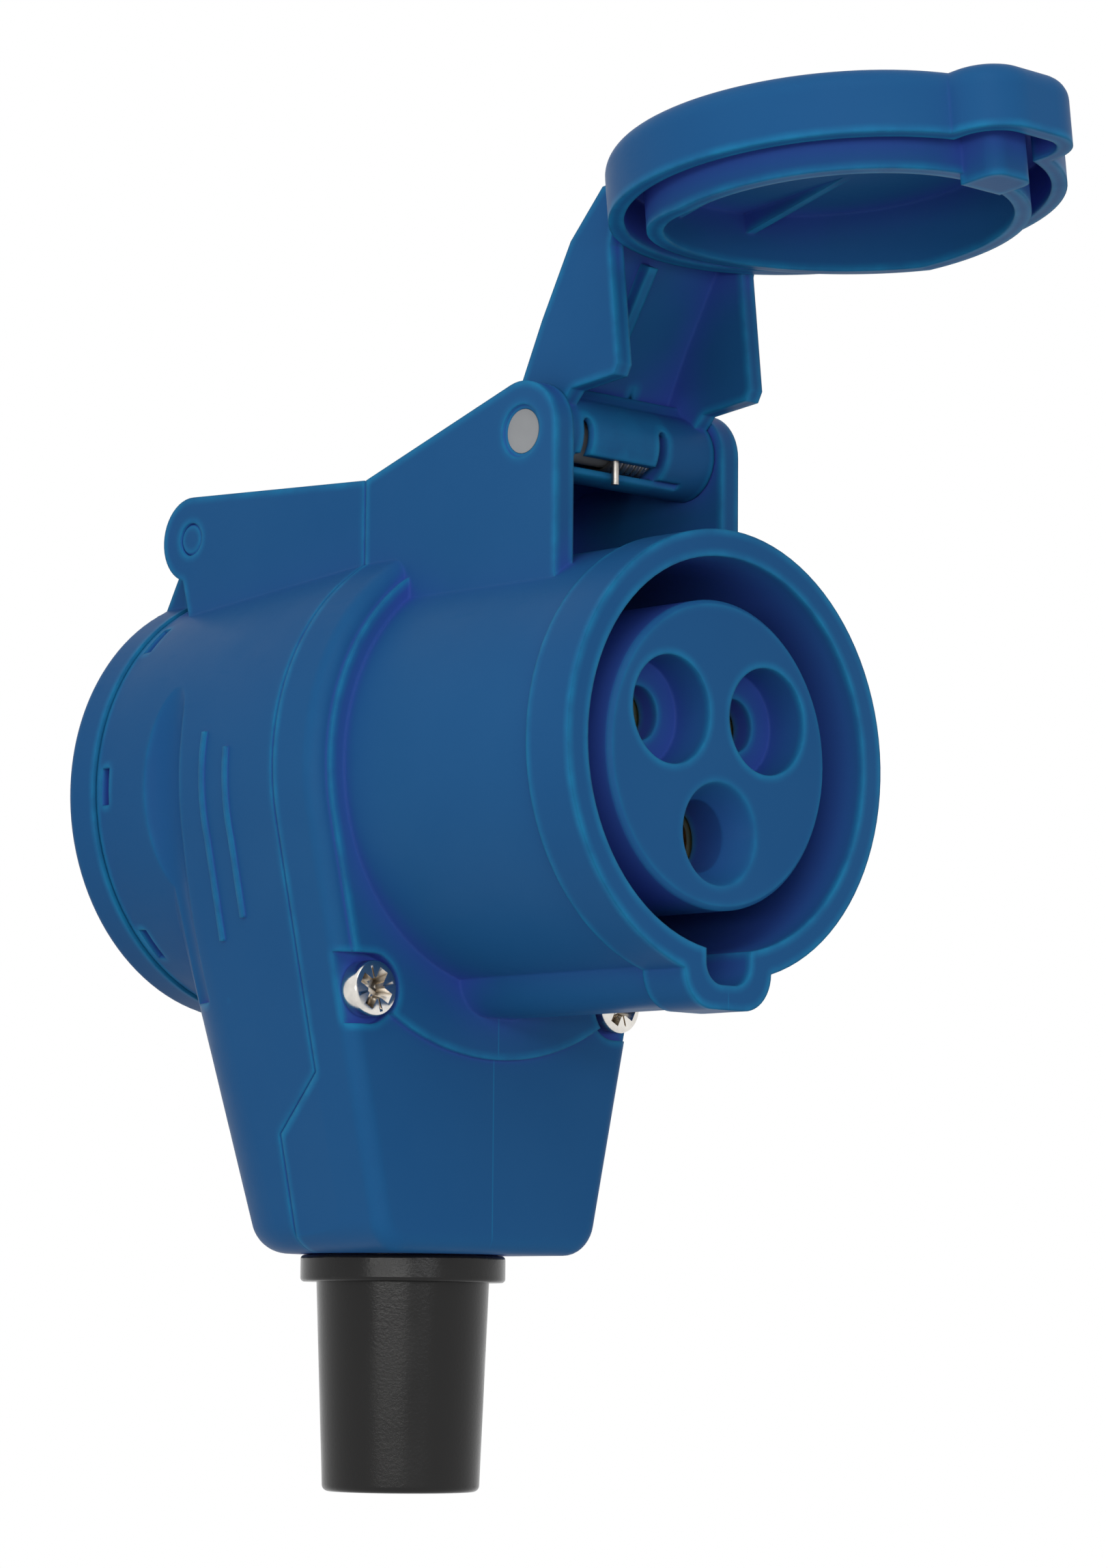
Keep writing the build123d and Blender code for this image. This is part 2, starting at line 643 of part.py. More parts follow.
def make_front_lid():
    base = rim_z + lid_gap
    top = base + front_lid_height
    under = top - front_lid_plate
    cap = extrude(Pos(0, 0, base) * key_outline(front_lid_radius, lobe_width, lobe_reach, lobe_round),
                  amount=front_lid_height)
    cap = fillet(cap.faces().sort_by(Axis.Z)[-1].edges(), front_lid_round)
    cap -= extrude(Pos(0, 0, base - 1) * key_outline(front_lid_radius - front_lid_skirt,
                                                     lobe_width - 2 * front_lid_skirt,
                   lobe_reach - front_lid_skirt, lobe_round - front_lid_skirt), amount=under - base + 1)
    # inner ring, the peg that enters the keyway, and two gussets
    ring_z = rim_z - front_ring_drop
    cap += rod(front_ring_outer, ring_z, under + 0.2) - rod(front_ring_outer - front_ring_wall, ring_z - 1,
                                                            under + 1)
    rise = (front_ring_outer - ring_relief_y) * ring_relief_slope
    cap -= side_prism([(ring_relief_y, ring_z), (front_ring_outer, ring_z + rise),
                       (front_ring_outer, ring_z - 1),
                       (ring_relief_y, ring_z - 1)], -front_ring_outer, front_ring_outer)
    peg_half = key_width / 2 - peg_clearance
    peg = block(-peg_half, peg_half, -key_reach + peg_clearance, -front_ring_outer + 0.8, rim_z - peg_drop,
                under + 0.2)
    cap += fillet(peg.edges().filter_by(Axis.Z).sort_by(Axis.Y)[:2], 1.8)
    for x in (-6.0, 6.0):
        inner = (front_ring_outer - front_ring_wall / 2) ** 2 - x * x
        cap += side_prism([(inner ** 0.5, under + 0.2), (inner ** 0.5, under - 2.6), (2.0, under + 0.2)],
                          x - 0.6, x + 0.6)
    # two arm plates joined by an outer wall, ending in the knuckle
    ky, kz = front_pin_y, front_pin_z
    clear_y = band_radius - 1.4
    outer = [(25.2, top - 0.6), (31.0, rim_z + 2.4), (36.6, rim_z - 5.8), (ky + 3.0, kz + 6.0),
             (ky + 3.6, kz + 3.4)]
    plate = outer + [(ky, kz), (ky - 4.0, kz + 2.8), (ky - 5.6, kz + 4.2), (clear_y + 0.8, kz + 4.2),
                     (clear_y, kz + 5.4),
                     (clear_y, base), (clear_y - 2, under), (clear_y - 4, under + 0.5),
                     (clear_y - 4, top - 0.6)]
    for side in (-1, 1):
        x0, x1 = sorted((side * (knuckle_half - arm_wall), side * knuckle_half))
        cap += side_prism(plate, x0, x1)
    skin = [(20.0, top - 0.6)] + outer[:4] + [(ky + 0.6, kz + 5.6), (34.5, rim_z - 6.8), (29.2, rim_z + 0.6),
                                              (24.6, under + 0.4), (20.0, under + 0.4)]
    cap += side_prism(skin, -knuckle_half + 0.5, knuckle_half - 0.5)
    cap += side_prism([(34.7, rim_z - 7.0), (29.0, rim_z + 0.8), (27.6, rim_z), (33.2, rim_z - 7.2)], -2.6,
                      -1.1)
    cap += bar_x(front_knuckle_radius, -knuckle_half, knuckle_half, ky, kz)
    cap += side_prism([(ky + 3.0, kz + 6.0), (ky + 3.6, kz + 3.0), (ky - 3.0, kz + 3.0),
                       (ky - 1.4, kz + 6.0)],
                      -knuckle_half, knuckle_half)
    cap -= bar_x(front_pin_diameter / 2 + pin_running_fit, -knuckle_half - 1, knuckle_half + 1, ky, kz)
    # room for the coil
    coil = coil_radius(front_pin_diameter) + spring_wire / 2 + spring_clearance
    cap -= bar_x(coil, spring_room_x, spring_end_x + spring_slot_width / 2, ky, kz)
    return cut_spring_window(open_front_lid(cap))


def cut_spring_window(lid):
    # window under the knuckle's bridge, a flat recess below it, two slots and the channels for the legs
    y, z = front_pin_y, front_pin_z
    deep, front = z + front_knuckle_radius * 0.3, z + front_knuckle_radius + 1
    lid -= block(spring_room_x, spring_end_x, y - window_foot, y - window_top, deep, front)
    lid -= block(spring_room_x, window_recess_x, y - front_knuckle_radius - 1, y - window_foot,
                 z + window_recess_z, front)
    half = spring_slot_width / 2
    for x in (spring_room_x + spring_slot_width, spring_end_x):
        top = y + spring_slot_rise - half
        lid -= block(x - half, x + half, y - window_foot, top, z + 2, front) + rod(half, z + 2, front, x, top)
    for x, angle, length in ((spring_start_x, 90, front_tail_length),
                             (spring_end_x, front_leg_angle, front_leg_length)):
        lid -= spring_leg(x, front_pin_diameter, y, z, angle, length + leg_fit, spring_wire / 2 + leg_fit)
    return lid


def coil_radius(pin_diameter):
    return pin_diameter / 2 + spring_clearance + spring_wire / 2


def spring_leg(x, pin_diameter, y, z, angle, length, radius):
    leg = Cylinder(radius, length, align=low)
    return Pos(x, y, z) * Rot(angle, 0, 0) * Pos(0, coil_radius(pin_diameter), 0) * leg


def make_spring(pin_diameter, y, z, leg_a, leg_b):
    # torsion coil round the pin, with two straight legs given as (y, z) tip directions
    radius = coil_radius(pin_diameter)
    path = Helix(pitch=spring_pitch, height=spring_pitch * spring_turns, radius=radius)
    start = path @ 0
    coil = sweep(Plane(origin=start, z_dir=path % 0) * Circle(spring_wire / 2), path=path, is_frenet=True)
    coil = Pos(spring_start_x, y, z) * Rot(0, 90, 0) * coil
    ends = ((spring_start_x, leg_a), (spring_end_x, leg_b))
    for x, (angle, length) in ends:
        coil += spring_leg(x, pin_diameter, y, z, angle, length, spring_wire / 2)
    return coil


def make_front_hinge_pin():
    return bar_x(front_pin_diameter / 2, -ear_half_width + pin_sink, ear_half_width - 1.2, front_pin_y,
                 front_pin_z)


def make_rear_hinge_pin():
    pin = bar_x(rear_pin_diameter / 2, -ear_half_width + 0.1, ear_half_width - 1.2, rear_pin_y, rear_pin_z)
    return chamfer(pin.faces().sort_by(Axis.X)[0].edges(), 0.3)


def make_rear_lid():
    cap = rod(rear_lid_radius, 0, rear_lid_height)
    cap = fillet(cap.faces().sort_by(Axis.Z)[0].edges(), rear_lid_round)
    cap -= rod(rear_lid_radius - rear_lid_skirt, rear_lid_plate, rear_lid_height + 1)
    y, z = rear_pin_y, rear_pin_z
    k = rear_knuckle_radius
    arm = [(20.0, rear_lid_plate - 1.0), (24.0, 1.0), (y - 1.0, z - k - 0.4 + 0.4),
           (y + k * 0.7, z - k * 0.7), (y, z),
           (y - k * 0.9, z + k * 0.3), (y - k * 0.9, rear_rim_z + 0.6), (y - k - 0.4, rear_lid_height),
           (24.0, rear_lid_height)]
    arm = arm + [(24.0, rear_lid_plate), (20.0, rear_lid_plate)]
    cap += side_prism(arm, -knuckle_half, knuckle_half)
    cap += bar_x(k, -knuckle_half, knuckle_half, y, z)
    cap -= bar_x(rear_pin_diameter / 2 + pin_running_fit, -knuckle_half - 1, knuckle_half + 1, y, z)
    coil = coil_radius(rear_pin_diameter)
    room = coil + spring_wire / 2 + spring_clearance
    x0, x1 = spring_start_x - spring_slot_width / 2, spring_end_x + spring_slot_width / 2
    cap -= bar_x(room, x0, x1, y, z)
    cap -= block(x0, x1, y - 2.5, y + 6, z, z + 6)
    cap -= block(spring_end_x - spring_slot_width / 2, x1, y - coil - 1, y - coil + 1, z - 6.0, z + 2)
    return cap


parts = {
    "front_housing": make_front_housing,
    "rear_housing": make_rear_housing,
    "contact_insert": make_contact_insert,
    "line_contact": lambda: make_contact(*live_places[0], live_pin_diameter),
    "neutral_contact": lambda: make_contact(*live_places[1], live_pin_diameter),
    "earth_contact": lambda: make_contact(*earth_place, earth_pin_diameter),
    "socket_insert": make_socket_insert,
    "socket_line_contact": lambda: make_socket_contact(-socket_pin_spacing / 2),
    "socket_neutral_contact": lambda: make_socket_contact(socket_pin_spacing / 2),
    "earth_clip": make_earth_clip,
    "line_strap": lambda: make_strap(-socket_pin_spacing / 2, 0, 2.6, *live_places[0], 3.4),
    "neutral_strap": lambda: make_strap(socket_pin_spacing / 2, 0, 2.6, *live_places[1], 3.4),
    "earth_link": make_earth_link,
    "cable_sleeve": make_cable_sleeve,
    "cable_clamp": make_cable_clamp,
    "clamp_screws": make_clamp_screws,
    "left_housing_screw": lambda: make_housing_screw(-1),
    "right_housing_screw": lambda: make_housing_screw(1),
    "front_hinge_pin": make_front_hinge_pin,
    "front_lid_spring": lambda: make_spring(front_pin_diameter, front_pin_y, front_pin_z,
                                            (90, front_tail_length),
                                            (front_leg_angle, front_leg_length)),
    "front_lid": make_front_lid,
    "rear_hinge_pin": make_rear_hinge_pin,
    "rear_lid_spring": lambda: make_spring(rear_pin_diameter, rear_pin_y, rear_pin_z, (0, rear_leg_length),
                                           (180, rear_tail_length)),
    "rear_lid": make_rear_lid,
}

os.makedirs("parts", exist_ok=True)
for name, make in parts.items():
    export_step(make(), f"parts/{name}.step")
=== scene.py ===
import json
import math

import bmesh
import bpy
from bpy.props import FloatProperty, FloatVectorProperty, PointerProperty
from bpy.types import Operator, Panel, PropertyGroup
from mathutils import Matrix, Vector

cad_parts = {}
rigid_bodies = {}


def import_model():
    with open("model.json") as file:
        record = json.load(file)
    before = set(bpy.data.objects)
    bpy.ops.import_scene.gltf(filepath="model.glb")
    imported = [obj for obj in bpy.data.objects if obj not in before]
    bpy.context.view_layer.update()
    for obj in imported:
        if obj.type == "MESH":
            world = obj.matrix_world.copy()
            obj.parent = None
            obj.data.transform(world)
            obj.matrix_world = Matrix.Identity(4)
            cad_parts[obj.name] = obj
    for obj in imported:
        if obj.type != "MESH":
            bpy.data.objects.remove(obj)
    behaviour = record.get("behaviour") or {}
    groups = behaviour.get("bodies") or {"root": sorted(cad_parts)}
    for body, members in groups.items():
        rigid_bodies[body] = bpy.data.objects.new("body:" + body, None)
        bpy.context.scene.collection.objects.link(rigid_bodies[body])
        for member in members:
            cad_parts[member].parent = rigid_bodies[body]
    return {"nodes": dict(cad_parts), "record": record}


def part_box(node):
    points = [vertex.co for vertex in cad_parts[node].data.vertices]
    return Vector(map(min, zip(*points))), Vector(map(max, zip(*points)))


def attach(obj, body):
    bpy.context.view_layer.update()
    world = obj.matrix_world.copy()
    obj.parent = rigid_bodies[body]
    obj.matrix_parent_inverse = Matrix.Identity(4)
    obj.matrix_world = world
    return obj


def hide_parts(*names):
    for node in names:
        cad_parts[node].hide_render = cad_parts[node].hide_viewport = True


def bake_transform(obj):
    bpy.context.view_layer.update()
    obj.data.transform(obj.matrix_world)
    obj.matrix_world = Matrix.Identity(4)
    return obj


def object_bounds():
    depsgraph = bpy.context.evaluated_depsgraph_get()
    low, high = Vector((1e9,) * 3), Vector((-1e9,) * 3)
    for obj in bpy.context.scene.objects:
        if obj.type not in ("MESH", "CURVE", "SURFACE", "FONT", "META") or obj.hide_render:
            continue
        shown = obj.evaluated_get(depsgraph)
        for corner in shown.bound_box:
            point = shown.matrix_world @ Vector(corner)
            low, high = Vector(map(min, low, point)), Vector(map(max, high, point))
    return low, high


bl_info = {
    "name": "Angled connector looks",
    "version": (1, 0),
    "blender": (4, 5, 0),
    "location": "3D View > Sidebar > Connector",
    "description": "Finishes, fine pieces and stage for the packed angled connector",
    "category": "Object",
}

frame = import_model()
nodes = frame["nodes"]
cad_low, cad_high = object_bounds()
mm = 0.001

# which node takes which finish
housing_nodes = ("front_housing", "rear_housing")
lid_nodes = ("front_lid", "rear_lid")
insert_nodes = ("contact_insert", "socket_insert")
contact_nodes = ("line_contact", "neutral_contact", "earth_contact", "socket_line_contact",
                 "socket_neutral_contact", "line_strap", "neutral_strap", "earth_link")
front_pin_nodes = ("front_hinge_pin",)
rear_pin_nodes = ("rear_hinge_pin",)
clip_nodes = ("earth_clip",)
clamp_nodes = ("cable_clamp",)
clamp_screw_nodes = ("clamp_screws",)
sleeve_nodes = ("cable_sleeve",)
housing_screws = ("left_housing_screw", "right_housing_screw")
# each lid spring's hinge, and the hinge's bodies given for its -X leg and its +X leg
spring_nodes = {"front_lid_spring": ("front_lid_hinge", "child", "parent"),
                "rear_lid_spring": ("rear_lid_hinge", "parent", "child")}
spring_leg_room = 1.0 * mm

# colours of the small pieces
pin_grey = (0.235, 0.245, 0.255)
clamp_grey = (0.25, 0.26, 0.27)
rubber_dust = (0.020, 0.0195, 0.0185)
brass = (0.70, 0.52, 0.24)
steel = (0.50, 0.47, 0.43)
clamp_nickel = (0.74, 0.70, 0.64)
bright_nickel = (0.80, 0.77, 0.72)
# painted shade inside the screws' cross recesses
recess_shade_nickel = (0.34, 0.27, 0.19)

# scales of the noise in the finishes, per metre, and how the fine scratches are drawn out
blue_cloud_scale, blue_sheen_scale, blue_patch_scale = 28.0, 90.0, 260.0
grey_cloud_scale, grey_skin_scale = 120.0, 3000.0
rubber_dust_scale, rubber_sheen_scale, rubber_skin_scale = 60.0, 150.0, 2600.0
metal_stain_scale = 300.0
scuff_stretch, scuff_turn = (60.0, 900.0, 240.0), (0.4, 0.9, 0.3)
turning_stretch = (900.0, 900.0, 9000.0)
plastic_skin_depth, rubber_skin_depth, turning_depth = 0.05 * mm, 0.06 * mm, 0.03 * mm
# how open a place is where its painted recess colour, its painted edge highlight or the screws' painted
# recess shade starts, and where that colour is full
painted_recess_span, highlight_span, screw_shade_span = (0.80, 0.20), (0.95, 0.55), (0.85, 0.35)
soft_ior, plastic_specular, rubber_specular = 1.5, 0.04, 0.24

# the mould line down the front of the handle: half its width, its two ends along Y, and how far forward
mould_line_place = (0.14 * mm, -56.5 * mm, -27.0 * mm, 44.0 * mm)
mould_line_fade, mould_line_front_fade = 2 * mm, 1 * mm
# how strongly the mould line takes the painted highlight colour
mould_line_highlight = 0.45

# housing screw
screw_head_height = 2.6 * mm
screw_core, screw_crest = 1.3 * mm, 1.62 * mm
screw_neck, screw_end = 1.5 * mm, 1.2 * mm
screw_turn_steps = 96
# how far the painted shade in a screw's cross recess reaches
screw_shade_reach = 0.9 * mm
smooth_angle = math.radians(32)

# the photograph's camera: its place, the way it looks, its right-hand side and its roll
camera_place = (-0.3969, -0.0664, 0.4660)
camera_look = (0.6938, 0.1138, -0.7112)
camera_right = (0.7160, 0.0, 0.698)
camera_roll = -0.008
camera_sensor = 36.0
camera_near, camera_far = 0.01, 20.0

# floor and lamps
floor_half, floor_gap = 3.0, 0.2 * mm
strip_size, upper_size = (0.07, 0.62), (0.4, 0.4)
key_lift, fill_lift = 0.06, 0.16
upper_out, upper_lift = 0.45, 0.55
warm_white, plain_white, cool_white = (1.0, 0.99, 0.97), (1.0, 1.0, 1.0), (0.97, 0.98, 1.0)


# settings

class ConnectorPlastic(PropertyGroup):
    """Moulded plastic of the housings, lids and inserts."""
    blue: FloatVectorProperty(name="Blue", description="Moulded colour",
                              subtype="COLOR", size=3, min=0, max=1, default=(0.0122, 0.0768, 0.2030))
    # painted highlight: the lighter teal put on outer edges and thin parts where light catches them
    painted_highlight_blue: FloatVectorProperty(name="Painted highlight blue", description="Colour painted on outer edges as a highlight",
                                    subtype="COLOR", size=3, min=0, max=1, default=(0.0110, 0.1900, 0.3700))
    blue_dark: FloatVectorProperty(name="Shaded blue", description="Colour where the mould is rougher",
                                   subtype="COLOR", size=3, min=0, max=1, default=(0.0090, 0.0690, 0.1920))
    # painted shade and bounced light: the colour put into recesses in place of their real light
    painted_recess_blue: FloatVectorProperty(name="Painted recess blue",
                                   description="Colour painted into recesses for their shade and bounced light",
                                   subtype="COLOR", size=3, min=0, max=1, default=(0.0380, 0.0700, 0.3800))
    roughness: FloatProperty(name="Roughness", description="Base roughness", default=0.42, min=0, max=1)
    grain: FloatProperty(name="Grain size", description="Size of one grain of the moulded skin",
                         subtype="DISTANCE", unit="LENGTH", default=0.00035, min=0.00005, max=0.01)
    edge: FloatProperty(name="Edge width", description="Radius that edges seem to be broken by",
                        subtype="DISTANCE", unit="LENGTH", default=0.0006, min=0.0, max=0.005)
    # width of the painted highlight along an outer edge
    highlight_reach: FloatProperty(name="Highlight width", description="Width of the lighter band along an outer edge",
                             subtype="DISTANCE", unit="LENGTH", default=0.0011, min=0.0001, max=0.01)
    # how far the painted recess colour reaches from a wall
    recess_reach: FloatProperty(name="Recess reach", subtype="DISTANCE", unit="LENGTH",
                                description="How far a wall deepens the colour beside it",
                                default=0.008, min=0.0005, max=0.05)


class ConnectorSoft(PropertyGroup):
    """Rubber of the cable sleeve."""
    black: FloatVectorProperty(name="Rubber", description="Colour of the rubber",
                               subtype="COLOR", size=3, min=0, max=1, default=(0.0085, 0.0082, 0.0080))
    roughness: FloatProperty(name="Roughness", description="Roughness of the rubber",
                             default=0.22, min=0, max=1)


class ConnectorScrews(PropertyGroup):
    """Cross-recess pan-head screws that hold the housing together."""
    head_radius: FloatProperty(name="Head radius", description="Radius of the screw head",
                               subtype="DISTANCE", unit="LENGTH", default=0.0033, min=0.001, max=0.01)
    recess_reach: FloatProperty(name="Recess reach", description="Half the span of the cross recess",
                                subtype="DISTANCE", unit="LENGTH", default=0.00245, min=0.0005, max=0.01)
    wing_width: FloatProperty(name="Wing width", description="Width of a wing of the cross at the top",
                              subtype="DISTANCE", unit="LENGTH", default=0.0013, min=0.0002, max=0.004)
    turn: FloatProperty(name="Turn", description="Angle of the cross",
                        subtype="ANGLE", unit="ROTATION", default=math.radians(62), min=0, max=math.tau)
    thread_pitch: FloatProperty(name="Thread pitch", description="Distance between thread crests",
                                subtype="DISTANCE", unit="LENGTH", default=0.0014, min=0.0003, max=0.005)


class ConnectorStage(PropertyGroup):
    """Floor, lamps and camera."""
    floor: FloatVectorProperty(name="Floor", description="Floor colour",
                               subtype="COLOR", size=3, min=0, max=1, default=(0.86, 0.86, 0.86))
    key_power: FloatProperty(name="Key power", description="Power of the strip lamp to the camera's left",
                             subtype="POWER", unit="POWER", default=1.25, min=0, max=100)
    fill_power: FloatProperty(name="Fill power", description="Power of the strip lamp to the camera's right",
                              subtype="POWER", unit="POWER", default=1.15, min=0, max=100)
    upper_power: FloatProperty(name="Upper power", description="Power of the soft lamp above the camera",
                               subtype="POWER", unit="POWER", default=1.1, min=0, max=100)
    lamp_distance: FloatProperty(name="Lamp distance", description="From the object's middle to a strip lamp",
                                 subtype="DISTANCE", unit="LENGTH", default=0.76, min=0.2, max=5)
    lamp_angle: FloatProperty(name="Lamp angle", subtype="ANGLE", unit="ROTATION",
                              description="Angle between a strip lamp and the camera, seen from the object",
                              default=math.radians(16), min=0, max=math.pi / 2)
    ambient: FloatProperty(name="Ambient", description="Strength of the even light from all around",
                           default=0.70, min=0, max=4)
    lens: FloatProperty(name="Lens", description="Focal length on the long side",
                        subtype="DISTANCE_CAMERA", default=110.175, min=10, max=500)


# materials

def socket_values(node, **values):
    for name, value in values.items():
        node.inputs[name.replace("_", " ")].default_value = value


def add(tree, kind, **inputs):
    node = tree.nodes.new(kind)
    socket_values(node, **inputs)
    return node


def feed(tree, value, socket):
    # link another node's output to a socket, or set a plain value on it
    if hasattr(value, "is_linked"):
        tree.links.new(value, socket)
    else:
        socket.default_value = value


def start_material(name):
    material = bpy.data.materials.new(name)
    material.use_nodes = True
    tree = material.node_tree
    shader = tree.nodes["Principled BSDF"]
    return material, tree, shader


def object_place(tree):
    return tree.nodes.new("ShaderNodeTexCoord").outputs["Object"]


def mapped(tree, place, **inputs):
    node = add(tree, "ShaderNodeMapping", **inputs)
    tree.links.new(place, node.inputs["Vector"])
    return node.outputs["Vector"]


def noise(tree, place, scale, detail=3.0, roughness=0.5):
    node = add(tree, "ShaderNodeTexNoise", Scale=scale, Detail=detail, Roughness=roughness)
    tree.links.new(place, node.inputs["Vector"])
    return node.outputs["Fac"]


def remap(tree, source, low, high, to_low=0.0, to_high=1.0):
    node = add(tree, "ShaderNodeMapRange", From_Min=low, From_Max=high, To_Min=to_low, To_Max=to_high)
    tree.links.new(source, node.inputs["Value"])
    return node.outputs["Result"]


def evened(tree, cloud, to_low=0.0, to_high=1.0):
    # noise keeps near its middle, so that part of it is spread over the whole range
    return remap(tree, cloud, 0.3, 0.7, to_low, to_high)


def multiply(tree, first, second):
    node = tree.nodes.new("ShaderNodeMath")
    node.operation = "MULTIPLY"
    feed(tree, first, node.inputs[0])
    feed(tree, second, node.inputs[1])
    return node.outputs[0]


def mix_floats(tree, factor, first, second):
    node = tree.nodes.new("ShaderNodeMix")
    node.data_type = "FLOAT"
    tree.links.new(factor, node.inputs[0])
    feed(tree, first, node.inputs[2])
    feed(tree, second, node.inputs[3])
    return node.outputs[0]


def mix_colors(tree, factor, first, second):
    node = tree.nodes.new("ShaderNodeMix")
    node.data_type = "RGBA"
    tree.links.new(factor, node.inputs["Factor"])
    for value, name in ((first, "A"), (second, "B")):
        socket = [s for s in node.inputs if s.name == name and s.type == "RGBA"][0]
        feed(tree, value if hasattr(value, "is_linked") else (*value, 1.0), socket)
    return [s for s in node.outputs if s.type == "RGBA"][0]


def openness(tree, distance, inside=False, alone=False):
    # how much of the surroundings a point sees, or of the solid behind it: 1 on a flat face
    node = add(tree, "ShaderNodeAmbientOcclusion", Distance=distance)
    node.samples = 4
    node.inside = inside
    node.only_local = alone
    return node.outputs["AO"]


def skin(tree, shader, height, strength, depth, normal=None):
    # fine relief on the surface, on top of a normal that is already bent where one is given
    bump = add(tree, "ShaderNodeBump", Strength=strength, Distance=depth)
    tree.links.new(height, bump.inputs["Height"])
    if normal is not None:
        tree.links.new(normal, bump.inputs["Normal"])
    tree.links.new(bump.outputs["Normal"], shader.inputs["Normal"])


def mould_line(tree, width, low, high, front):
    # a thin line in the middle plane, where two parts of the mould met, drawn as a painted highlight
    axes = tree.nodes.new("ShaderNodeSeparateXYZ")
    tree.links.new(object_place(tree), axes.inputs["Vector"])
    inner = remap(tree, axes.outputs["X"], -width, 0.0)
    outer = remap(tree, axes.outputs["X"], width, 0.0)
    below = remap(tree, axes.outputs["Y"], high, high - mould_line_fade)
    above = remap(tree, axes.outputs["Y"], low, low + mould_line_fade)
    ahead = remap(tree, axes.outputs["Z"], front, front + mould_line_front_fade)
    along = multiply(tree, multiply(tree, below, above), ahead)
    return multiply(tree, multiply(tree, inner, outer), along)


def moulded_color(tree, place, settings, alone, line):
    # painted light: recesses get a deeper blue for their shade and bounced light, and outer edges and thin
    # parts get a lighter painted highlight
    cloud = noise(tree, place, blue_cloud_scale, 4.0, 0.55)
    base = mix_colors(tree, evened(tree, cloud), settings.blue_dark, settings.blue)
    # painted shade and bounced light in recesses, from how closed in a point is
    recess = remap(tree, openness(tree, settings.recess_reach, False, alone), *painted_recess_span)
    base = mix_colors(tree, recess, base, settings.painted_recess_blue)
    # painted highlight on outer edges and thin parts, from how much solid lies behind a point, patchy along
    # its length
    painted_highlight = remap(tree, openness(tree, settings.highlight_reach, True, True), *highlight_span)
    patchy = remap(tree, noise(tree, place, blue_patch_scale, 3.0), 0.35, 0.65, 0.5, 1.0)
    painted_highlight = multiply(tree, painted_highlight, multiply(tree, patchy, 0.8))
    if line:
        # the mould line gets the painted highlight too
        painted_highlight = mix_floats(tree, mould_line(tree, *line), painted_highlight, mould_line_highlight)
    return mix_colors(tree, painted_highlight, base, settings.painted_highlight_blue)


def moulded_sheen(tree, place, roughness):
    # uneven sheen, with fine hairline scuffs
    cloud = noise(tree, place, blue_sheen_scale, 5.0, 0.6)
    rough = evened(tree, cloud, roughness - 0.05, roughness + 0.06)
    hair = noise(tree, mapped(tree, place, Scale=scuff_stretch, Rotation=scuff_turn), 1.0, 2.0)
    return mix_floats(tree, remap(tree, hair, 0.62, 0.72, 0.0, 0.35), rough, roughness + 0.14)


def moulded_plastic(name, settings, seed, alone=False, line=None):
    material, tree, shader = start_material(name)
    place = mapped(tree, object_place(tree), Location=(seed, seed * 0.7, seed * 1.3))
    color = moulded_color(tree, place, settings, alone, line)
    tree.links.new(color, shader.inputs["Base Color"])
    tree.links.new(moulded_sheen(tree, place, settings.roughness), shader.inputs["Roughness"])
    bevel = add(tree, "ShaderNodeBevel", Radius=settings.edge)
    bevel.samples = 6
    grain = noise(tree, place, 1.0 / settings.grain, 2.0, 0.6)
    skin(tree, shader, grain, 0.22, plastic_skin_depth, bevel.outputs["Normal"])
    socket_values(shader, IOR=soft_ior, Specular_IOR_Level=plastic_specular)
    return material


def plain_plastic(name, color, roughness):
    material, tree, shader = start_material(name)
    place = object_place(tree)
    cloud = noise(tree, place, grey_cloud_scale, 4.0)
    darker = tuple(c * 0.8 for c in color)
    tree.links.new(mix_colors(tree, evened(tree, cloud), darker, color), shader.inputs["Base Color"])
    tree.links.new(evened(tree, cloud, roughness - 0.05, roughness + 0.05), shader.inputs["Roughness"])
    skin(tree, shader, noise(tree, place, grey_skin_scale, 2.0), 0.2, plastic_skin_depth)
    return material


def sleeve_rubber(settings):
    material, tree, shader = start_material("sleeve_rubber")
    place = object_place(tree)
    dust = remap(tree, noise(tree, place, rubber_dust_scale, 6.0, 0.65), 0.52, 0.78, 0.0, 0.5)
    tree.links.new(mix_colors(tree, dust, settings.black, rubber_dust), shader.inputs["Base Color"])
    cloud = noise(tree, place, rubber_sheen_scale, 4.0)
    rough = evened(tree, cloud, settings.roughness - 0.04, settings.roughness + 0.06)
    tree.links.new(rough, shader.inputs["Roughness"])
    skin(tree, shader, noise(tree, place, rubber_skin_scale, 3.0, 0.6), 0.35, rubber_skin_depth)
    socket_values(shader, IOR=soft_ior, Specular_IOR_Level=rubber_specular)
    return material


def turned_metal(name, color, roughness, scratch, recess=None):
    material, tree, shader = start_material(name)
    place = object_place(tree)
    stain = remap(tree, noise(tree, place, metal_stain_scale, 5.0, 0.6), 0.35, 0.7)
    darker = tuple(c * 0.72 for c in color)
    base = mix_colors(tree, stain, color, darker)
    # painted shade: a darker colour where the surface is closed in, as in a screw's cross recess
    if recess:
        recess_shade = remap(tree, openness(tree, screw_shade_reach, False, True), *screw_shade_span)
        base = mix_colors(tree, recess_shade, base, recess)
    tree.links.new(base, shader.inputs["Base Color"])
    tree.links.new(remap(tree, stain, 0.0, 1.0, roughness, roughness + 0.14), shader.inputs["Roughness"])
    rings = noise(tree, mapped(tree, place, Scale=turning_stretch), 1.0, 3.0)
    skin(tree, shader, rings, scratch, turning_depth)
    socket_values(shader, Metallic=1.0)
    return material


def give(names, material):
    for name in names:
        mesh = nodes[name].data
        mesh.materials.clear()
        mesh.materials.append(material)


# mesh helpers

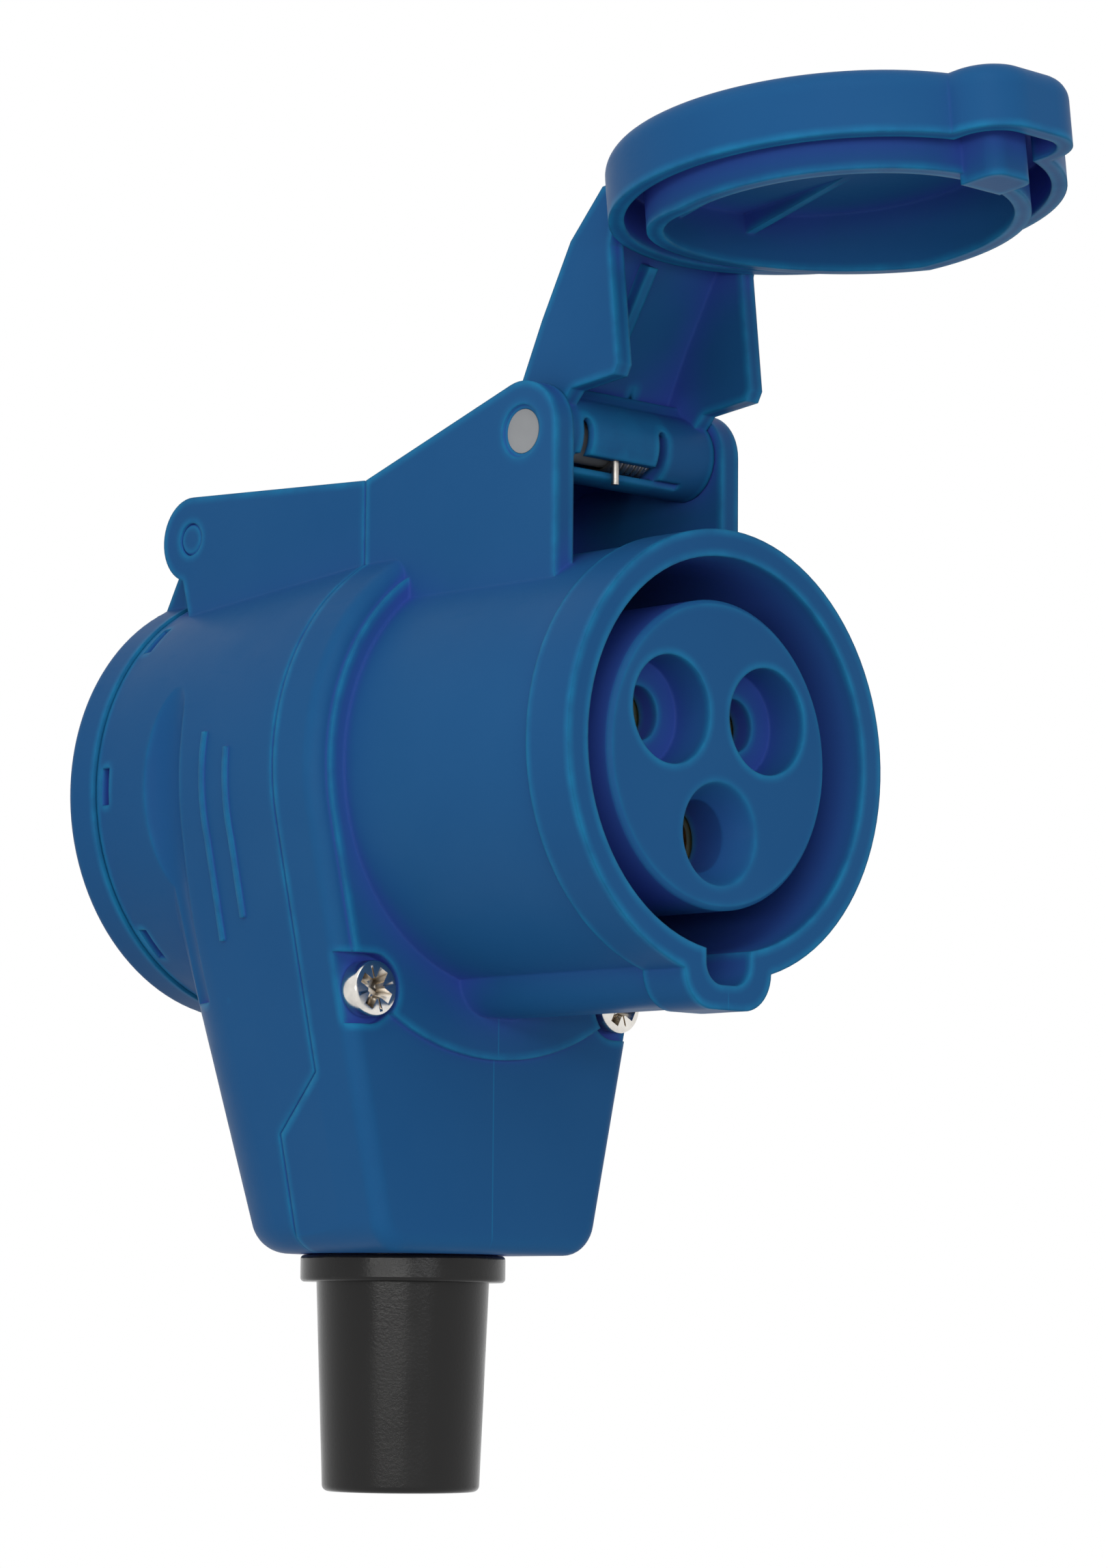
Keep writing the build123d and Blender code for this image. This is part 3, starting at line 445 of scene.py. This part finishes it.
def lathe(profile, segments):
    # profile of (radius, height) points, turned about Z
    mesh = bmesh.new()
    rings = []
    turns = [math.tau * k / segments for k in range(segments)]
    for radius, height in profile:
        if radius == 0:
            places = [(0, 0, height)]
        else:
            places = [(radius * math.cos(t), radius * math.sin(t), height) for t in turns]
        rings.append([mesh.verts.new(place) for place in places])
    for first, second in zip(rings, rings[1:]):
        for k in range(segments):
            n = (k + 1) % segments
            corners = [first[k % len(first)], first[n % len(first)],
                       second[n % len(second)], second[k % len(second)]]
            unique = list(dict.fromkeys(corners))
            if len(unique) > 2:
                mesh.faces.new(unique)
    bmesh.ops.recalc_face_normals(mesh, faces=mesh.faces)
    return mesh


def piece_from(mesh, name, material):
    data = bpy.data.meshes.new(name)
    mesh.to_mesh(data)
    mesh.free()
    piece = bpy.data.objects.new(name, data)
    bpy.context.scene.collection.objects.link(piece)
    data.materials.append(material)
    return piece


def soften(piece):
    piece.data.shade_smooth()
    piece.data.set_sharp_from_angle(angle=smooth_angle)


def carve(piece, cutters):
    # take the cutters away from the piece and keep the result as its own mesh
    for cutter in cutters:
        cut = piece.modifiers.new("cut", "BOOLEAN")
        cut.operation = "DIFFERENCE"
        cut.solver = "EXACT"
        cut.object = cutter
        bpy.context.view_layer.update()
        result = bpy.data.meshes.new_from_object(piece.evaluated_get(bpy.context.evaluated_depsgraph_get()))
        piece.modifiers.clear()
        piece.data = result
        bpy.data.objects.remove(cutter)


def tapered_wedge(half_length, half_width, depth, taper, turn, top, start=0.0):
    # a slot cutter whose floor is narrower than its mouth, from end to end or from start outwards
    mesh = bmesh.new()
    near = start or -half_length
    corners = []
    for z, share in ((top - depth, 1.0 - taper), (top + depth * 0.3, 1.0 + 0.3 * taper)):
        x0, x1, y = near * share, half_length * share, half_width * share
        for x, side in ((x0, -1), (x1, -1), (x1, 1), (x0, 1)):
            place = Matrix.Rotation(turn, 3, "Z") @ Vector((x, side * y, 0))
            corners.append(mesh.verts.new((place.x, place.y, z)))
    low, high = corners[:4], corners[4:]
    mesh.faces.new(low[::-1])
    mesh.faces.new(high)
    for k in range(4):
        n = (k + 1) % 4
        mesh.faces.new((low[k], low[n], high[n], high[k]))
    bmesh.ops.recalc_face_normals(mesh, faces=mesh.faces)
    return mesh


def screw_profile(top, tip, radius, seat, pitch):
    # flat head with a small rounded rim, neck, thread crests and a blunt tip
    height = seat - screw_neck
    points = [(0, top), (radius * 0.88, top), (radius * 0.95, top - 0.06 * mm),
              (radius * 0.985, top - 0.2 * mm), (radius, top - 0.42 * mm), (radius, seat + 0.12 * mm),
              (radius - 0.12 * mm, seat), (screw_crest, seat), (screw_crest, height)]
    while height - pitch > tip + screw_end:
        points += [(screw_core, height - pitch * 0.25), (screw_core, height - pitch * 0.6),
                   (screw_crest, height - pitch * 0.85), (screw_crest, height - pitch)]
        height -= pitch
    return points + [(screw_core, height - pitch * 0.3), (screw_core, tip + 0.7 * mm),
                     (screw_core * 0.5, tip + 0.1 * mm), (0, tip)]


def cross_recess(settings, top):
    # cutters of the recess: two long wings, two shorter ones between them and four fine marks
    reach, width, turn = settings.recess_reach, settings.wing_width, settings.turn
    quarter = math.pi / 2
    between = turn + math.pi / 4
    cutters = []
    for k in range(2):
        cutters.append(tapered_wedge(reach, width / 2, 1.7 * mm, 0.42, turn + k * quarter, top))
        cutters.append(tapered_wedge(reach * 0.52, width * 0.42, 1.2 * mm, 0.3, between + k * quarter, top))
    for k in range(4):
        cutters.append(tapered_wedge(reach * 1.08, 0.12 * mm, 0.16 * mm, 0.12, between + k * quarter, top,
                                     start=reach * 0.4))
    return cutters


# pieces

class ConnectorHousings(Operator):
    """Give both housing halves their moulded blue skin"""
    bl_idname = "connector.housings"
    bl_label = "Housings"

    def execute(self, context):
        settings = context.scene.connector_plastic
        give(housing_nodes, moulded_plastic("housing_plastic", settings, 0.0, line=mould_line_place))
        return {"FINISHED"}


class ConnectorLids(Operator):
    """Give both lids and their hinge pins their moulded plastic"""
    bl_idname = "connector.lids"
    bl_label = "Lids"

    def execute(self, context):
        settings = context.scene.connector_plastic
        give(lid_nodes, moulded_plastic("lid_plastic", settings, 0.31, alone=True))
        give(rear_pin_nodes, moulded_plastic("hinge_pin_plastic", settings, 0.53))
        give(front_pin_nodes, plain_plastic("grey_pin_plastic", pin_grey, 0.45))
        return {"FINISHED"}


class ConnectorInserts(Operator):
    """Give the contact insert, the domestic socket and the clamp their finish"""
    bl_idname = "connector.inserts"
    bl_label = "Inserts"

    def execute(self, context):
        settings = context.scene.connector_plastic
        give(insert_nodes, moulded_plastic("insert_plastic", settings, 0.77))
        give(clamp_nodes, plain_plastic("clamp_plastic", clamp_grey, 0.5))
        return {"FINISHED"}


class ConnectorMetal(Operator):
    """Give the contacts, the earth clip and the clamp's screws their metal"""
    bl_idname = "connector.metal"
    bl_label = "Metal pieces"

    def execute(self, context):
        give(contact_nodes, turned_metal("contact_brass", brass, 0.25, 0.2))
        give(clip_nodes, turned_metal("clip_steel", steel, 0.26, 0.2))
        give(clamp_screw_nodes, turned_metal("clamp_screw_nickel", clamp_nickel, 0.2, 0.15))
        return {"FINISHED"}


class ConnectorSprings(Operator):
    """Copy each lid's torsion spring in spring steel in place of the part"""
    bl_idname = "connector.springs"
    bl_label = "Lid springs"

    def execute(self, context):
        finish = turned_metal("spring_steel", steel, 0.26, 0.2)
        hinges = {hinge["name"]: hinge for hinge in frame["record"]["behaviour"]["joints"]}
        for node, (hinge_name, first_side, last_side) in spring_nodes.items():
            hinge = hinges[hinge_name]
            low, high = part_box(node)
            first, last = Vector(hinge["pos_m"]), Vector(hinge["pos_m"])
            first.x, last.x = low.x + spring_leg_room, high.x - spring_leg_room
            spring = bpy.data.objects.new(node + "_wound", nodes[node].data.copy())
            context.scene.collection.objects.link(spring)
            spring.data.materials.clear()
            spring.data.materials.append(finish)
            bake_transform(spring)
            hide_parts(node)
        return {"FINISHED"}


class ConnectorHousingScrews(Operator):
    """Turn the two housing screws and cut their cross recesses"""
    bl_idname = "connector.housing_screws"
    bl_label = "Housing screws"

    def execute(self, context):
        settings = context.scene.connector_screws
        nickel = turned_metal("screw_nickel", bright_nickel, 0.13, 0.12, recess=recess_shade_nickel)
        for node in housing_screws:
            low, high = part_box(node)
            profile = screw_profile(high.z, low.z, settings.head_radius, high.z - screw_head_height,
                                    settings.thread_pitch)
            screw = piece_from(lathe(profile, screw_turn_steps), node + "_turned", nickel)
            carve(screw, [piece_from(c, "cutter", nickel) for c in cross_recess(settings, high.z)])
            screw.data.transform(Matrix.Translation(((low.x + high.x) / 2, (low.y + high.y) / 2, 0)))
            soften(screw)
            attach(screw, "housing")
            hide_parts(node)
        return {"FINISHED"}


class ConnectorSleeve(Operator):
    """Give the cable sleeve its rubber"""
    bl_idname = "connector.sleeve"
    bl_label = "Cable sleeve"

    def execute(self, context):
        give(sleeve_nodes, sleeve_rubber(context.scene.connector_soft))
        return {"FINISHED"}


# stage

def seen_directly(tree):
    # 1 for what the camera sees, also in a mirror or through glass, and 0 for the light on the object
    ray = tree.nodes.new("ShaderNodeLightPath")
    seen = ray.outputs["Is Camera Ray"]
    for kind in ("Is Glossy Ray", "Is Transmission Ray"):
        either = tree.nodes.new("ShaderNodeMath")
        either.operation = "MAXIMUM"
        tree.links.new(seen, either.inputs[0])
        tree.links.new(ray.outputs[kind], either.inputs[1])
        seen = either.outputs[0]
    return seen


def choose_by_view(tree, unseen, seen, surface):
    # one shader where the camera sees it, another for the light on the object
    blend = tree.nodes.new("ShaderNodeMixShader")
    tree.links.new(seen_directly(tree), blend.inputs["Fac"])
    tree.links.new(unseen, blend.inputs[1])
    tree.links.new(seen, blend.inputs[2])
    tree.links.new(blend.outputs["Shader"], surface)


def floor_paint(color):
    material, tree, shader = start_material("floor_paint")
    socket_values(shader, Base_Color=(*color, 1.0), Roughness=0.9)
    glow = add(tree, "ShaderNodeEmission", Strength=1.0)
    choose_by_view(tree, shader.outputs["BSDF"], glow.outputs["Emission"],
                   tree.nodes["Material Output"].inputs["Surface"])
    return material


def paint_world(world, strength):
    tree = world.node_tree
    plain = tree.nodes["Background"]
    socket_values(plain, Color=(1.0, 1.0, 1.0, 1.0), Strength=strength)
    white = add(tree, "ShaderNodeBackground", Color=(1.0, 1.0, 1.0, 1.0), Strength=1.0)
    choose_by_view(tree, plain.outputs["Background"], white.outputs["Background"],
                   tree.nodes["World Output"].inputs["Surface"])


def lay_floor(scene, color):
    mesh = bpy.data.meshes.new("floor")
    corners = [(-floor_half, -floor_half, 0), (floor_half, -floor_half, 0),
               (floor_half, floor_half, 0), (-floor_half, floor_half, 0)]
    mesh.from_pydata(corners, [], [(0, 1, 2, 3)])
    floor = bpy.data.objects.new("floor", mesh)
    scene.collection.objects.link(floor)
    floor.location.z = cad_low.z - floor_gap
    mesh.materials.append(floor_paint(color))


def lamp(name, place, target, size, power, color):
    data = bpy.data.lights.new(name, "AREA")
    data.shape = "RECTANGLE"
    data.size, data.size_y = size
    data.energy = power
    data.color = color
    light = bpy.data.objects.new(name, data)
    bpy.context.scene.collection.objects.link(light)
    light.location = place
    light.rotation_mode = "QUATERNION"
    light.rotation_quaternion = (target - place).to_track_quat("-Z", "Y")


def hang_lamps(settings):
    # two tall strip lamps, one each side of the camera, and a soft one above it
    middle = (cad_low + cad_high) / 2
    out, side = -Vector(camera_look), Vector(camera_right)
    up = out.cross(side)
    away = middle + out * settings.lamp_distance * math.cos(settings.lamp_angle)
    aside = side * settings.lamp_distance * math.sin(settings.lamp_angle)
    upper = middle + out * upper_out + up * upper_lift
    lamp("key", away - aside + up * key_lift, middle, strip_size, settings.key_power, warm_white)
    lamp("upper", upper, middle, upper_size, settings.upper_power, plain_white)
    lamp("fill", away + aside + up * fill_lift, middle, strip_size, settings.fill_power, cool_white)


def set_camera(scene, lens):
    look = Vector(camera_look).normalized()
    right = look.cross(Vector((0.0, 1.0, 0.0))).normalized()
    up = right.cross(look).normalized()
    cosine, sine = math.cos(camera_roll), math.sin(camera_roll)
    right, up = right * cosine - up * sine, right * sine + up * cosine
    data = bpy.data.cameras.new("photo_camera")
    data.sensor_fit = "AUTO"
    data.sensor_width = camera_sensor
    data.lens = lens
    data.clip_start, data.clip_end = camera_near, camera_far
    camera = bpy.data.objects.new("photo_camera", data)
    scene.collection.objects.link(camera)
    turn = Matrix((right, up, -look)).transposed().to_4x4()
    camera.matrix_world = Matrix.Translation(Vector(camera_place)) @ turn
    scene.camera = camera


class ConnectorStageSet(Operator):
    """Make the floor, the lamps and the camera at the photograph's angle"""
    bl_idname = "connector.stage"
    bl_label = "Stage"

    def execute(self, context):
        settings = context.scene.connector_stage
        scene = context.scene
        lay_floor(scene, settings.floor)
        scene.world = bpy.data.worlds.new("studio")
        scene.world.use_nodes = True
        paint_world(scene.world, settings.ambient)
        hang_lamps(settings)
        set_camera(scene, settings.lens)
        scene.view_settings.view_transform = "Standard"
        return {"FINISHED"}


# add-on

class ConnectorPanel(Panel):
    """List the settings and the pieces in the sidebar"""
    bl_idname = "CONNECTOR_PT_looks"
    bl_label = "Angled connector"
    bl_space_type = "VIEW_3D"
    bl_region_type = "UI"
    bl_category = "Connector"

    def draw(self, context):
        for group in setting_groups:
            box = self.layout.box()
            settings = getattr(context.scene, group)
            for name in settings.__annotations__:
                box.prop(settings, name)
        for piece in piece_operators:
            self.layout.operator(piece.bl_idname)


setting_groups = {"connector_plastic": ConnectorPlastic, "connector_soft": ConnectorSoft,
                  "connector_screws": ConnectorScrews, "connector_stage": ConnectorStage}
piece_operators = (ConnectorHousings, ConnectorLids, ConnectorInserts, ConnectorMetal, ConnectorSprings,
                   ConnectorHousingScrews, ConnectorSleeve, ConnectorStageSet)
classes = (*setting_groups.values(), *piece_operators, ConnectorPanel)


def register():
    for cls in classes:
        bpy.utils.register_class(cls)
    for name, group in setting_groups.items():
        setattr(bpy.types.Scene, name, PointerProperty(type=group))


def unregister():
    for name in setting_groups:
        delattr(bpy.types.Scene, name)
    for cls in reversed(classes):
        bpy.utils.unregister_class(cls)


def main():
    register()
    for piece in piece_operators:
        module, name = piece.bl_idname.split(".")
        getattr(getattr(bpy.ops, module), name)()


if __name__ == "__main__":
    main()
